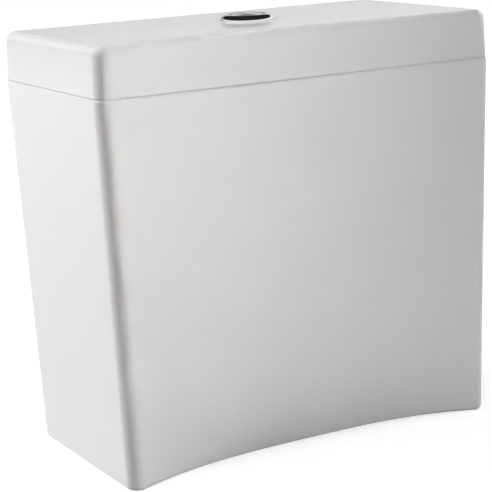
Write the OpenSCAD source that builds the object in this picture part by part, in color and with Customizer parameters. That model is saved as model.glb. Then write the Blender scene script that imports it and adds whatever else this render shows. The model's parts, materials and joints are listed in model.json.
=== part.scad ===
// Close-coupled toilet cistern with a lift-off lid and a round dual-flush push button.
// Frame: Z up, X across the width, front towards -Y, origin at base level under the middle of the rim.
// All sizes are in millimetres and angles in degrees.

/* [Tank] */
// Width over the walls at the seam under the lid
tank_w = 390; // [370:1:430]
// Depth from the front wall to the back wall at the seam
tank_d = 199; // [180:1:210]
// Height of the tank's rim above the base
tank_h = 331; // [320:1:370]
// Inset of each side wall at the base
side_taper = 9.5; // [0:0.5:16]
// Inset of the front wall at the base
front_taper = 0; // [0:0.5:10]
// Inset of the back wall at the base
back_taper = 12; // [0:0.5:16]
// Thickness of the ceramic walls
wall = 10; // [8:0.5:12]
// Radius of the upright outer edges
corner_r = 11.5; // [8:0.5:14]
// Radius of the upright inner edges
inner_r = 12; // [8:0.5:16]
// Thickness of the tank floor
floor_t = 10; // [8:0.5:14]
// Height of the recess under the floor
skirt_h = 38; // [34:1:46]
// Width of the foot rim round the recess
foot_w = 13; // [10:0.5:16]
// Radius of the foot's outer edge
foot_r = 4; // [2:0.5:6]
// Rise of the front foot's arch at the middle
arch_h = 3; // [0:0.5:12]
// Depth of the hollow sweep in the lower front wall
scoop_d = 20; // [0:0.5:22]
// Height where the hollow sweep runs out
scoop_h = 100; // [80:1:130]
// Radius of the rim's edges
rim_r = 1.5; // [1:0.25:3]
// Radius between the inner walls and the floor
fillet_r = 10; // [6:0.5:14]

/* [Lid] */
// Height of the lid above the rim
lid_h = 42.5; // [38:0.5:50]
// Thickness of the lid's top
lid_t = 10; // [8:0.5:12]
// Thickness of the lid's walls
lid_wall = 11; // [9:0.5:13]
// Inset of the lid's walls at the top
lid_draft = 1.4; // [0:0.1:4]
// Radius of the lid's upper edge
lid_edge_r = 8; // [5:0.5:9]
// Radius of the lid's lower edge
seam_r = 1.2; // [0.6:0.1:2]
// Depth of the locating lip inside the rim
lip_h = 6; // [4:0.5:9]
// Thickness of the locating lip
lip_t = 6; // [5:0.5:8]
// Play between the lip and the tank wall
lip_gap = 1.5; // [1:0.25:3]

/* [Push button] */
// Radius of the visible key disc
key_r = 16.5; // [16.5:0.25:19]
// Play round the keys
key_gap = 0.4; // [0.3:0.05:0.6]
// Width of the shoulder that holds the keys under the bezel
key_shoulder = 1.2; // [0.8:0.1:2]
// Height of the key's shoulder
key_t = 4; // [3:0.5:5]
// Rise of the keys' domed top
key_dome = 2; // [1:0.25:3]
// Height of the bezel above the lid
bezel_h = 5.5; // [4.5:0.25:7]
// Width of the bezel outside the barrel
bezel_rim = 4; // [3:0.5:6]
// Wall of the threaded barrel
barrel_wall = 1.9; // [1.5:0.1:2.5]
// Length of the barrel below the lid's top
barrel_len = 31; // [29:0.5:33]
// Thickness of the barrel's floor
barrel_floor = 3; // [2:0.5:4]
// Play between the barrel and the lid's hole
lid_hole_gap = 1; // [0.5:0.25:2]
// Distance of the line that divides the keys from the middle
split_x = 5.5; // [5:0.25:6.5]
// Gap between the two keys
split_gap = 0.6; // [0.5:0.05:0.8]
// Height of the ring nut under the lid
ring_nut_h = 10; // [8:0.5:12]
// Width of the ring nut
ring_nut_w = 8.5; // [6:0.5:11]
// Thickness of the washer under the lid
lid_washer_t = 3; // [2:0.5:4]
// Radius of the push rods
rod_r = 2; // [1.8:0.1:2.1]
// Radius of the push rods' rounded tips
rod_tip_r = 3; // [2.6:0.1:3.2]
// Distance of the push rods from the middle along the width
rod_x = 12.2; // [12:0.1:12.6]
// Mean radius of the return springs
spring_r = 2.8; // [2.75:0.05:2.9]
// Radius of the springs' wire
wire_r = 0.35; // [0.3:0.01:0.37]
// Turns of each return spring
spring_turns = 7; // [6:1:9]

/* [Flush valve] */
// Outer radius of the threaded outlet tail
tail_r = 30; // [28:0.5:31]
// Radius of the outlet bore
outlet_r = 25; // [23:0.5:25.5]
// Height of the tail's end above the base
tail_clear = 6; // [4:0.5:10]
// Radius of the valve base flange
flange_r = 45; // [43:0.5:48]
// Thickness of the valve base flange
flange_t = 4; // [3:0.5:6]
// Thickness of the gasket under the flange
gasket_t = 3; // [2:0.5:5]
// Mean radius of the seat's lip
seat_r = 28; // [27.5:0.25:28.5]
// Height of the seat above the flange
seat_h = 6; // [5:0.5:8]
// Height of the collar that holds the tower
collar_h = 9; // [7:0.5:11]
// Outer radius of the tower
tower_r = 38; // [37.5:0.25:39]
// Wall of the tower
tower_wall = 2.5; // [2:0.25:3]
// Height of the water windows
window_h = 30; // [24:1:36]
// Width of the water windows
window_w = 34; // [28:1:38]
// Thickness of the tower head plate
head_t = 4; // [3:0.5:5]
// Height of the pivot above the tower head
cheek_h = 44; // [42:0.5:48]
// Depth of the lever pivot below the rim
pivot_drop = 29; // [28.5:0.25:30]
// Radius of the lever pivot pin
pin_r = 2.5; // [2:0.1:3]
// Play of the levers on the pin
pin_gap = 0.08; // [0.05:0.01:0.1]
// Thickness of each lever
lever_t = 6; // [5:0.25:6.5]
// Gap between the two levers
lever_gap = 3; // [2:0.25:4]
// Distance of the lifting nose from the pivot
lift_x = 22; // [21.5:0.25:23]
// Radius of the lifting nose
nose_r = 3; // [2.6:0.1:3.4]
// Play between pushing and pushed faces
touch_gap = 0.5; // [0.4:0.05:0.8]
// Outer radius of the overflow tube
tube_r = 17; // [16:0.25:17]
// Wall of the overflow tube
tube_wall = 2; // [1.5:0.25:2.5]
// Depth of the overflow edge below the pivot
tube_drop = 26; // [25:0.5:28]
// Play round the sliding tube and stem
slide_gap = 0.3; // [0.25:0.05:0.4]
// Outer radius of the valve seal
seal_r = 32; // [31:0.25:32.5]
// Thickness of the valve seal
seal_t = 3; // [2.5:0.25:4]
// Height of the full-flush float
full_float_h = 55; // [45:1:65]
// Outer radius of the full-flush float
full_float_r = 32; // [29:0.5:33]
// Wall of the floats
float_wall = 1.6; // [1.2:0.1:2]
// Distance of the half-flush stem from the middle
stem_x = 52; // [51:0.25:54]
// Radius of the half-flush stem
stem_r = 2.5; // [2.2:0.1:2.8]
// Radius of the half-flush float
half_float_r = 11; // [9:0.5:11]
// Height of the half-flush float
half_float_h = 50; // [40:1:60]
// Height of the back nut
back_nut_h = 12; // [10:0.5:14]
// Height of the coupling seal's foot above the base
donut_clear = 2; // [1:0.5:4]

/* [Fill valve] */
// Distance of the fill valve from the tank's left side
inlet_in = 70; // [66:1:76]
// Position of the fill valve along the depth
fill_y = 8; // [0:1:20]
// Radius of the threaded inlet end
inlet_r = 10.48; // [10.3:0.01:10.5]
// Step from the inlet end to the shank in the floor
shank_step = 0.25; // [0.2:0.01:0.3]
// Radius of the water way
water_r = 6.5; // [5:0.25:7]
// Outer radius of the riser tube
riser_r = 11; // [10:0.25:11.5]
// Wall of the riser tube
riser_wall = 2.4; // [2:0.1:3]
// Depth of the riser's end below the rim
fill_drop = 77; // [75:1:85]
// Height of the valve head above the riser
head_h = 27; // [24:1:30]
// Height of the collar that locks the riser
lock_h = 9; // [7:0.5:11]
// Outer radius of the float cup
cup_r = 30; // [26:0.5:31]
// Height of the float cup
cup_h = 72; // [60:1:80]
// Play between the float cup and the riser
cup_gap = 1.5; // [1:0.25:2]
// Travel of the float cup
cup_travel = 12; // [10:0.5:12]
// Distance from the arm's pivot to the link rod
arm_len = 34; // [33:0.5:35]
// Thickness of the float arm
arm_t = 4; // [3:0.25:4.5]
// Width of the float arm
arm_w = 9; // [8:0.25:10]
// Radius of the arm's pin
arm_pin_r = 1.6; // [1.4:0.1:1.8]
// Radius of the link rod
link_r = 1.8; // [1.5:0.1:2]
// Radius of the link rod's stops
stop_r = 4.5; // [4:0.25:5]
// Thickness of the link rod's stops
stop_t = 2; // [1.5:0.25:3]
// Height of the float cup's ear
ear_h = 8; // [6:0.5:10]
// Depth of the ear's upper face below the float cup's top
ear_drop = 4; // [2:0.5:6]
// Height of the head cap
cap_h = 12; // [10:0.5:14]
// Radius of the head cap
cap_r = 18; // [17:0.5:20]

/* [Coupling bolts] */
// Distance between the two bolts
bolt_span = 150; // [146:1:160]
// Radius of the bolts' threaded ends
bolt_r = 4; // [3.5:0.1:4.5]
// Step from the threaded end to the neck in the floor
neck_step = 0.4; // [0.3:0.05:0.6]
// Height of the bolts' ends above the base
bolt_clear = 4; // [2:0.5:6]
// Radius of the bolt heads
bolt_head_r = 9; // [8:0.5:11]
// Height of the bolt heads
bolt_head_h = 6; // [5:0.5:8]
// Radius of the washers inside the tank
bolt_seal_r = 13; // [12:0.5:14]
// Thickness of the washers inside the tank
bolt_seal_t = 4; // [3:0.5:5]
// Radius of the flat washers under the floor
bolt_washer_r = 11; // [10:0.5:12]
// Thickness of the flat washers
bolt_washer_t = 2; // [1.5:0.25:2.5]
// Height of the bolt nuts
bolt_nut_h = 6.5; // [5:0.5:8]

/* [Hidden] */
$fn = 48;
corner_steps = 6;
front_steps = 18;
fit_gap = 0.15;
thread_gap = 0.1;
press_gap = 0.05;
hole_gap = 1;
floor_z = skirt_h + floor_t;
rim_z = tank_h;
lid_top = rim_z + lid_h;
lid_under = lid_top - lid_t;
arch_span = tank_w / 2 - side_taper - corner_r;
arch_zone = 60;
scoop_curve = 3;
sweep_curve = 3;

lip_r = key_r + key_gap;
shoulder_r = key_r + key_shoulder;
bore_r = shoulder_r + key_gap;
barrel_r = bore_r + barrel_wall;
bezel_r = barrel_r + bezel_rim;
lid_hole_r = barrel_r + lid_hole_gap;
lip_z = lid_top + 2;
key_under = lip_z - key_t;
key_cut = 2 * shoulder_r;
barrel_z = lid_top - barrel_len;
ring_nut_r = barrel_r + ring_nut_w;
rod_y = (lever_gap + lever_t) / 2;
pivot_z = rim_z - pivot_drop;
pad_h = 2;
pin_over = 6;
pin_head_t = 2;
pad_r = 4;
rod_tip = pivot_z + pad_h + touch_gap;

flange_z = floor_z + gasket_t;
flange_top = flange_z + flange_t;
seat_z = flange_top + seat_h;
tower_in = tower_r - tower_wall;
head_top = pivot_z - cheek_h;
tower_top = head_top - head_t;
tube_top = pivot_z - tube_drop;
tube_in = tube_r - tube_wall;
hook_y = lever_gap / 2 + lever_t + 1.5;
hook_w = 4;
arm_h = 5;
hook_head = 3.5;
bar_cut = 1;
hook_z = pivot_z + nose_r + touch_gap;
crown_top = tube_top - 2;
crown_z = head_top + 4;
cheek_y = hook_y + hook_w + 7;
cheek_t = 4;
gusset_t = 3;
gusset_d = 11;
guide_wall = 3;
guide_h = 9;
stem_y = -hook_y - hook_w / 2;
half_float_drop = 58;
half_float_top = tower_top - half_float_drop;
notches = 4;
notch_pitch = 6;
full_float_drop = 46;
full_float_top = tower_top - full_float_drop;
back_nut_z = skirt_h - back_nut_h;
tail_gap = 2.5;

fill_x = inlet_in - tank_w / 2;
shank_r = inlet_r + shank_step;
inlet_end = 4;
inlet_nut_h = 10;
inlet_nut_z = skirt_h - inlet_nut_h;
fill_flange_z = floor_z + gasket_t;
socket_z = fill_flange_z + flange_t;
socket_h = 20;
riser_z = socket_z + 3;
riser_top = rim_z - fill_drop;
head_skirt = 15;
head_wall = 3;
head_neck = riser_top + 4;
cup_in = riser_r + cup_gap;
cup_top = riser_top - head_skirt - cup_travel - 4;
cap_z = riser_top + head_h;
arm_rise = 9;
arm_z = cap_z + cap_h + arm_rise;
cap_cheek_t = 3;
arm_pin_over = 5;
cap_cheek_w = 6;
cap_cheek_eye = 4;
nozzle_r = 2.2;
nozzle_h = 4.3;
arm_x = fill_x + 6;
link_x = arm_x + arm_len;
arm_tilt = asin(cup_travel / 2 / arm_len);
arm_end_z = arm_z - cup_travel / 2;
ear_z = cup_top - ear_drop - ear_h;

neck_r = bolt_r + neck_step;
bolt_nut_z = skirt_h - bolt_washer_t - bolt_nut_h;
bolt_top = floor_z + bolt_seal_t;

// Half width, front and back of the tank's outside at a height
function half_w(z) = tank_w / 2 - side_taper * (1 - z / tank_h);
function front_y(z) = -tank_d / 2 + front_taper * (1 - z / tank_h);
function back_y(z) = tank_d / 2 - back_taper * (1 - z / tank_h);

// Closed outline of a rounded rectangle: half width, front, back and corner radius
function outline(hw, yf, yb, r) = concat(
    corner_arc(hw - r, yb - r, r, 0),
    corner_arc(r - hw, yb - r, r, 90),
    corner_arc(r - hw, yf + r, r, 180),
    [for (i = [1:front_steps - 1]) [(hw - r) * (2 * i / front_steps - 1), yf]],
    corner_arc(hw - r, yf + r, r, 270)
);
function corner_arc(x, y, r, a) = [
    for (i = [0:corner_steps]) [x + r * cos(a + 90 * i / corner_steps), y + r * sin(a + 90 * i / corner_steps)]
];

// Share of the front sweep that a point of an outline takes
function sweep_share(p, yf, r) = (
    max(0, 1 - pow(abs(p[0]) / arch_span, sweep_curve)) * max(0, min(1, 1 - (p[1] - yf) / r))
);

// One ring of points; scoop moves the front inwards and arch lifts it
function ring(hw, yf, yb, r, z, scoop = 0, arch = 0) = [
    for (p = outline(hw, yf, yb, r))
        let(s = sweep_share(p, yf, r)) [p[0], p[1] + scoop * s, z + arch * s]
];
function scoop_at(z) = scoop_d * pow(max(0, 1 - z / scoop_h), scoop_curve);
function arch_at(z) = arch_h * max(0, 1 - z / arch_zone);
function outer_ring(z, inset) = ring(
    half_w(z) - inset, front_y(z) + inset, back_y(z) - inset, corner_r - inset, z, scoop_at(z), arch_at(z)
);
function inner_ring(z, inset) = ring(
    half_w(z) - inset, front_y(z) + inset, back_y(z) - inset, inner_r, z, scoop_at(z)
);
function recess_ring(z, arch) = ring(
    half_w(0) - foot_w, front_y(0) + foot_w, back_y(0) - foot_w, inner_r, z, scoop_d, arch
);
function lid_ring(z, inset, r) = let(d = lid_draft * (z - rim_z) / lid_h + inset)
    ring(tank_w / 2 - d, d - tank_d / 2, tank_d / 2 - d, max(1, r), z);

// Closed skin over a list of rings with flat ends
module skin(rings) {
    n = len(rings[0]);
    m = len(rings);
    sides = [
        for (k = [0:m - 2], i = [0:n - 1])
            let(a = k * n + i, b = k * n + (i + 1) % n)
                each [[a, a + n, b + n], [a, b + n, b]]
    ];
    polyhedron(
        points = [for (r = rings) each r],
        faces = concat([[for (i = [0:n - 1]) i]], [[for (i = [n - 1:-1:0]) (m - 1) * n + i]], sides),
        convexity = 10
    );
}

// Upright tube from z0 to z1
module tube(r0, r1, z0, z1) {
    translate([0, 0, z0]) {
        difference() {
            cylinder(r = r1, h = z1 - z0);
            translate([0, 0, -1]) cylinder(r = r0, h = z1 - z0 + 2);
        }
    }
}

// Copies at both coupling bolts
module at_bolts() {
    for (s = [-1, 1]) {
        translate([s * bolt_span / 2, 0, 0]) children();
    }
}

// Copies at the fill valve
module at_fill() {
    translate([fill_x, fill_y, 0]) children();
}

// Tank with the recess under its floor
module tank_body() {
    color("white") difference() {
        skin(concat(
            [recess_ring(skirt_h, 0), recess_ring(0, arch_h)],
            [for (a = [0:30:90]) outer_ring(foot_r * (1 - cos(a)), foot_r * (1 - sin(a)))],
            [for (f = [0.12, 0.24, 0.38, 0.55, 0.75, 1]) outer_ring(scoop_h * f, 0)],
            [for (a = [0:45:90]) outer_ring(rim_z - rim_r * (1 - sin(a)), rim_r * (1 - cos(a)))],
            [inner_ring(rim_z, wall - rim_r), inner_ring(rim_z - rim_r, wall)],
            [for (f = [0:0.25:0.75]) inner_ring(scoop_h + (floor_z + fillet_r - scoop_h) * f, wall)],
            [for (a = [0:30:90]) inner_ring(floor_z + fillet_r * (1 - sin(a)), wall + fillet_r * (1 - cos(a)))]
        ));
        translate([0, 0, skirt_h - 1]) cylinder(r = tail_r + tail_gap, h = floor_t + 2);
        at_bolts() translate([0, 0, skirt_h - 1]) cylinder(r = neck_r + hole_gap, h = floor_t + 2);
        at_fill() translate([0, 0, skirt_h - 1]) cylinder(r = shank_r + hole_gap, h = floor_t + 2);
    }
}

// Lid with a locating lip inside the rim
module tank_lid() {
    lip_out = wall + lip_gap;
    color("white") difference() {
        skin(concat(
            [lid_ring(lid_under, lid_wall, inner_r), lid_ring(rim_z + lip_h, lid_wall, inner_r)],
            [lid_ring(rim_z, lip_out + lip_t, inner_r), lid_ring(rim_z - lip_h, lip_out + lip_t, inner_r)],
            [lid_ring(rim_z - lip_h, lip_out, inner_r), lid_ring(rim_z, lip_out, inner_r)],
            [for (a = [0:45:90]) let(in = seam_r * (1 - sin(a)))
                lid_ring(rim_z + seam_r * (1 - cos(a)), in, corner_r - in)],
            [for (a = [0:18:90]) let(in = lid_edge_r * (1 - cos(a)))
                lid_ring(lid_top - lid_edge_r * (1 - sin(a)), in, corner_r - in)]
        ));
        translate([0, 0, lid_under - 1]) cylinder(r = lid_hole_r, h = lid_t + 2);
    }
}

// Chrome bezel with its threaded barrel
module button_bezel() {
    lip_edge = lip_r + 1;
    color("silver") difference() {
        union() {
            rotate_extrude() polygon(concat(
                [[bore_r, barrel_z], [barrel_r, barrel_z], [barrel_r, lid_top], [bezel_r, lid_top]],
                [for (a = [0:15:90]) [
                    lip_edge + (bezel_r - lip_edge) * cos(a), lid_top + 0.8 + (bezel_h - 0.8) * sin(a)
                ]],
                [[lip_r, lid_top + bezel_h - 0.4], [lip_r, lip_z], [bore_r, lip_z]]
            ));
            translate([0, 0, barrel_z - barrel_floor]) cylinder(r = barrel_r, h = barrel_floor);
        }
        for (s = [-1, 1]) {
            translate([s * rod_x, s * rod_y, barrel_z - barrel_floor - 1])
                cylinder(r = rod_r + slide_gap, h = barrel_floor + 2);
        }
        translate([0, 0, barrel_z - barrel_floor - 1]) cylinder(r = rod_x / 2, h = barrel_floor + 2);
    }
}

// Rubber washer between the lid and the ring nut
module button_washer() {
    color("dimgray") tube(barrel_r + slide_gap, ring_nut_r - 1, lid_under - lid_washer_t, lid_under);
}

// Ring nut under the lid with gripping ribs
module button_ring_nut() {
    z = lid_under - lid_washer_t - ring_nut_h;
    color("gainsboro") difference() {
        union() {
            translate([0, 0, z]) cylinder(r = ring_nut_r - 2, h = ring_nut_h);
            translate([0, 0, z + ring_nut_h - 3]) cylinder(r = ring_nut_r, h = 3);
            for (a = [0:30:150]) {
                rotate([0, 0, a]) translate([-ring_nut_r + 0.6, -1.5, z])
                    cube([2 * ring_nut_r - 1.2, 3, ring_nut_h - 1]);
            }
        }
        translate([0, 0, z - 1]) cylinder(r = barrel_r + thread_gap, h = ring_nut_h + 2);
    }
}

// Domed disc with a shoulder, before it is divided into the two keys
module key_blank() {
    ball_r = (pow(key_r, 2) + pow(key_dome, 2)) / (2 * key_dome);
    top = lid_top + bezel_h + key_dome / 2;
    intersection() {
        union() {
            translate([0, 0, key_under]) cylinder(r = shoulder_r, h = key_t);
            translate([0, 0, lip_z - 1]) cylinder(r = key_r, h = top - lip_z + 1);
        }
        translate([0, 0, top - ball_r]) sphere(r = ball_r);
    }
}

// Large key for the full flush
module full_flush_key() {
    color("silver") intersection() {
        key_blank();
        translate([split_gap / 2 - split_x, -key_cut, key_under - key_cut]) cube(2 * key_cut);
    }
}

// Small key for the half flush
module half_flush_key() {
    color("silver") intersection() {
        key_blank();
        translate([-split_gap / 2 - split_x - 2 * key_cut, -key_cut, key_under - key_cut]) cube(2 * key_cut);
    }
}

// Helical spring standing on the barrel's floor
module key_spring() {
    around = 6;
    per_turn = 12;
    steps = spring_turns * per_turn;
    z0 = barrel_z + wire_r + 0.05;
    rise = key_under - barrel_z - 2 * wire_r - 0.1;
    pitch = rise / spring_turns;
    lean = atan(pitch / (2 * PI * spring_r));
    echo(spring_turn_gap = pitch * cos(lean) - 2 * wire_r);
    pts = [
        for (k = [0:steps], j = [0:around - 1])
            let(t = 360 * k / per_turn, b = 360 * j / around, u = wire_r * cos(b), v = wire_r * sin(b))
                [
                    (spring_r + u) * cos(t) + v * sin(lean) * sin(t),
                    (spring_r + u) * sin(t) - v * sin(lean) * cos(t),
                    z0 + rise * k / steps + v * cos(lean)
                ]
    ];
    last = steps * around;
    polyhedron(
        points = pts,
        faces = concat(
            [[for (j = [0:around - 1]) j]],
            [[for (j = [around - 1:-1:0]) last + j]],
            [
                for (k = [0:steps - 1], j = [0:around - 1])
                    let(a = k * around + j, b = k * around + (j + 1) % around)
                        each [[a, a + around, b + around], [a, b + around, b]]
            ]
        ),
        convexity = 10
    );
}
module full_key_spring() {
    color("lightsteelblue") translate([rod_x, rod_y, 0]) key_spring();
}
module half_key_spring() {
    color("lightsteelblue") translate([-rod_x, -rod_y, 0]) key_spring();
}

// Push rod with a rounded tip under a key
module push_rod() {
    translate([0, 0, rod_tip + rod_tip_r]) cylinder(r = rod_r, h = key_under - rod_tip - rod_tip_r);
    translate([0, 0, rod_tip + rod_tip_r]) sphere(r = rod_tip_r);
    translate([0, 0, rod_tip + rod_tip_r]) cylinder(r = rod_tip_r - thread_gap, h = 2 * rod_tip_r);
}
module full_push_rod() {
    color("gainsboro") translate([rod_x, rod_y, 0]) push_rod();
}
module half_push_rod() {
    color("gainsboro") translate([-rod_x, -rod_y, 0]) push_rod();
}

// Valve base with outlet tail, seat and the tower's collar
module valve_base() {
    collar_r = tower_r + 0.2;
    color("whitesmoke") rotate_extrude() polygon([
        [outlet_r, tail_clear], [tail_r - 1, tail_clear], [tail_r, tail_clear + 1], [tail_r, flange_z],
        [flange_r, flange_z], [flange_r, flange_top], [collar_r + 3, flange_top],
        [collar_r + 3, flange_top + collar_h], [collar_r, flange_top + collar_h], [collar_r, flange_top],
        [seat_r + 2.5, flange_top], [seat_r + 1, seat_z], [seat_r - 1, seat_z], [outlet_r, flange_z]
    ]);
}

// Flat gasket between the valve base and the tank floor
module base_gasket() {
    color("dimgray") tube(tail_r + 0.8, flange_r - 1, floor_z, flange_z);
}

// Back nut under the tank floor
module back_nut() {
    color("gainsboro") difference() {
        union() {
            translate([0, 0, back_nut_z]) cylinder(r = tail_r + 9, h = back_nut_h);
            for (a = [0:45:135]) {
                rotate([0, 0, a]) translate([-tail_r - 13, -4, back_nut_z + 1])
                    cube([2 * tail_r + 26, 8, back_nut_h - 2]);
            }
        }
        translate([0, 0, back_nut_z - 1]) cylinder(r = tail_r + thread_gap, h = back_nut_h + 2);
    }
}

// Thick soft seal between the tank and the pan, with a bulging side
module coupling_seal() {
    half = (back_nut_z - donut_clear) / 2;
    bulge = 8;
    color("dimgray") rotate_extrude() polygon(concat(
        [[tail_r + 0.3, donut_clear]],
        [for (a = [-75:25:75]) [tail_r + bulge * (1 + cos(a)), donut_clear + half * (1 + sin(a) / sin(75))]],
        [[tail_r + 0.3, back_nut_z]]
    ));
}

// Tower with water windows and sight slots
module valve_tower() {
    window_z = flange_top + 16;
    color("white") difference() {
        translate([0, 0, flange_top]) cylinder(r = tower_r, h = tower_top - flange_top);
        translate([0, 0, flange_top - 1]) cylinder(r = seal_r + 2, h = window_z + window_h - flange_top + 3);
        translate([0, 0, flange_top]) cylinder(r = tower_in - 1, h = tower_top - flange_top + 1);
        translate([0, 0, window_z + window_h + 4]) cylinder(r = tower_in, h = tower_top);
        translate([-tower_r - 1, -window_w / 2, window_z]) cube([2 * tower_r + 2, window_w, window_h]);
        translate([-window_w / 2, -tower_r - 1, window_z]) cube([window_w, 2 * tower_r + 2, window_h]);
        translate([-6, -tower_r - 1, full_float_top - full_float_h])
            cube([12, 2 * tower_r + 2, full_float_h + 20]);
    }
}

// Tower head with the lever cheeks, their gussets and the stem's guide
module tower_head() {
    arm_in = tower_r - 8;
    color("gainsboro") difference() {
        union() {
            translate([0, 0, tower_top]) cylinder(r = tower_r + 2, h = head_t);
            tube(tower_in - 2.2, tower_in - 0.2, tower_top - 8, tower_top + 1);
            tube(tube_r + slide_gap, tube_r + guide_wall, tower_top - guide_h, tower_top + 1);
            translate([arm_in, stem_y - guide_wall * 2, tower_top])
                cube([stem_x - arm_in, guide_wall * 4, head_t]);
            translate([stem_x, stem_y, tower_top - guide_h])
                cylinder(r = stem_r + guide_wall + 1, h = guide_h + head_t);
            for (s = [0, 180]) {
                rotate([0, 0, s]) {
                    translate([0, cheek_y + cheek_t / 2, head_top - 1]) cheek(cheek_t, cheek_h + 1, 13, 8);
                    translate([-gusset_t / 2, cheek_y + cheek_t - 1, head_top - 1]) rotate([90, 0, 90])
                        linear_extrude(height = gusset_t) polygon([[0, 0], [gusset_d, 0], [0, cheek_h * 0.6]]);
                }
            }
        }
        translate([0, 0, tower_top - 1]) cylinder(r = tube_r + slide_gap, h = head_t + 2);
        translate([stem_x, stem_y, tower_top - guide_h - 1])
            cylinder(r = stem_r + slide_gap, h = guide_h + head_t + 2);
        translate([0, cheek_y + 2 * pin_over, pivot_z]) rotate([90, 0, 0])
            cylinder(r = pin_r + press_gap, h = 2 * (cheek_y + 2 * pin_over));
    }
}

// Sliding overflow tube with the holder of the valve seal
module overflow_tube() {
    color("white") rotate_extrude() polygon([
        [tube_in, seat_z - 4], [tube_r + 2, seat_z - 4], [tube_r + 2.5, seat_z], [tube_r, seat_z],
        [tube_r, seat_z + seal_t], [seal_r - 3, seat_z + seal_t], [seal_r - 3, seat_z + seal_t + 4],
        [tube_r, seat_z + seal_t + 6], [tube_r, tube_top], [tube_in, tube_top]
    ]);
}

// Soft ring that closes on the seat
module valve_seal() {
    color("firebrick") tube(tube_r + fit_gap, seal_r, seat_z, seat_z + seal_t);
}

// Float on the overflow tube, open below
module full_flush_float() {
    z = full_float_top;
    r0 = tube_r + fit_gap;
    color("cornflowerblue") rotate_extrude() polygon([
        [r0, z - full_float_h], [r0 + float_wall, z - full_float_h], [r0 + float_wall, z - 2],
        [full_float_r - float_wall, z - 2], [full_float_r - float_wall, z - full_float_h],
        [full_float_r, z - full_float_h], [full_float_r, z], [r0, z]
    ]);
}

// Outline of a bar with cut corners
module bar_outline(w, t) {
    polygon([
        [bar_cut - w / 2, -t / 2], [w / 2 - bar_cut, -t / 2],
        [w / 2, bar_cut - t / 2], [w / 2, t / 2 - bar_cut],
        [w / 2 - bar_cut, t / 2], [bar_cut - w / 2, t / 2], [-w / 2, t / 2 - bar_cut], [-w / 2, bar_cut - t / 2]
    ]);
}

// Upright plate with a round eye on a wider foot, across the Y axis: thickness, height to the eye, foot and eye
module cheek(t, h, foot, eye) {
    rotate([90, 0, 0]) translate([0, 0, -t / 2]) linear_extrude(height = t) {
        polygon([[-foot, 0], [foot, 0], [eye * 0.94, h], [-eye * 0.94, h]]);
        translate([0, h]) circle(r = eye);
    }
}

// Post and head that a lever's nose lifts
module lift_hook() {
    head_y = lever_gap / 2 - 1;
    head_w = hook_head + 6.5;
    translate([-lift_x, hook_y + hook_w / 2, crown_z]) linear_extrude(height = hook_z + hook_head / 2 - crown_z)
        bar_outline(2 * hook_w, hook_w);
    translate([-lift_x, hook_y + hook_w, hook_z]) rotate([90, 0, 0])
        linear_extrude(height = hook_y + hook_w - head_y) polygon([
            [-head_w / 2, 0], [head_w / 2, 0], [head_w / 2, hook_head / 2],
            [head_w / 2 - hook_head / 2, hook_head],
            [hook_head / 2 - head_w / 2, hook_head], [-head_w / 2, hook_head / 2]
        ]);
}

// Crown on the overflow tube with the full flush's lifting post
module lifting_crown() {
    color("gainsboro") difference() {
        union() {
            translate([0, 0, crown_z]) cylinder(r = tube_r + 2.5, h = crown_top - crown_z);
            translate([-lift_x - 4, 6, crown_z]) cube([lift_x - 9, hook_y + hook_w - 6, crown_top - crown_z]);
            lift_hook();
        }
        translate([0, 0, crown_z - 1]) cylinder(r = tube_r + fit_gap, h = crown_top - crown_z + 2);
    }
}

// Rocker with a round push pad on one side and a lifting nose on the other
module rocker() {
    hub_r = pin_r * 2;
    web = 0.92;
    translate([0, lever_gap / 2 + lever_t, pivot_z]) rotate([90, 0, 0])
        linear_extrude(height = lever_t) difference() {
        union() {
            circle(r = hub_r);
            polygon([
                [0, -web * hub_r], [rod_x, -pad_h * 1.3], [rod_x + pad_r * 0.8, 0],
                [rod_x + pad_r * 0.8, pad_h], [0, pad_h]
            ]);
            polygon([[0, -web * hub_r], [-lift_x, -web * nose_r], [-lift_x, web * nose_r], [0, web * hub_r]]);
            translate([-lift_x, 0]) circle(r = nose_r);
        }
        circle(r = pin_r + pin_gap);
    }
    translate([rod_x, rod_y, pivot_z]) cylinder(r = pad_r, h = pad_h);
}
module full_flush_lever() {
    color("lightgreen") rocker();
}
module half_flush_lever() {
    color("khaki") rotate([0, 0, 180]) rocker();
}

// Pin through both levers and cheeks
module lever_pin() {
    color("silver") {
        translate([0, cheek_y + pin_over, pivot_z]) rotate([90, 0, 0])
            cylinder(r = pin_r, h = 2 * (cheek_y + pin_over));
        translate([0, -cheek_y - cheek_t - thread_gap, pivot_z]) rotate([90, 0, 0])
            cylinder(r = 1.6 * pin_r, h = pin_head_t);
    }
}

// Half-flush stem with its lifting post, jogged arm and setting notches
module half_flush_stem() {
    color("khaki") {
        rotate([0, 0, 180]) lift_hook();
        translate([lift_x - hook_w, stem_y - hook_w / 2, crown_z])
            cube([stem_x - lift_x + 2 * hook_w, hook_w, arm_h]);
        translate([stem_x, stem_y, half_float_top - half_float_h - 4])
            cylinder(r = stem_r, h = crown_z + 3 - half_float_top + half_float_h + 4);
        translate([stem_x, stem_y, half_float_top - half_float_h - 4]) cylinder(r = stem_r + 2.5, h = 4);
        for (k = [1:notches]) {
            translate([stem_x, stem_y, half_float_top + notch_pitch * k])
                cylinder(r = stem_r + 1, h = notch_pitch / 3);
        }
    }
}

// Half-flush float on its stem, open below
module half_flush_float() {
    z = half_float_top;
    r0 = stem_r + fit_gap;
    color("cornflowerblue") translate([stem_x, stem_y, 0]) rotate_extrude() polygon([
        [r0, z - half_float_h], [r0 + float_wall, z - half_float_h], [r0 + float_wall, z - 2],
        [half_float_r - float_wall, z - 2], [half_float_r - float_wall, z - half_float_h],
        [half_float_r, z - half_float_h], [half_float_r, z], [r0, z]
    ]);
}

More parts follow.
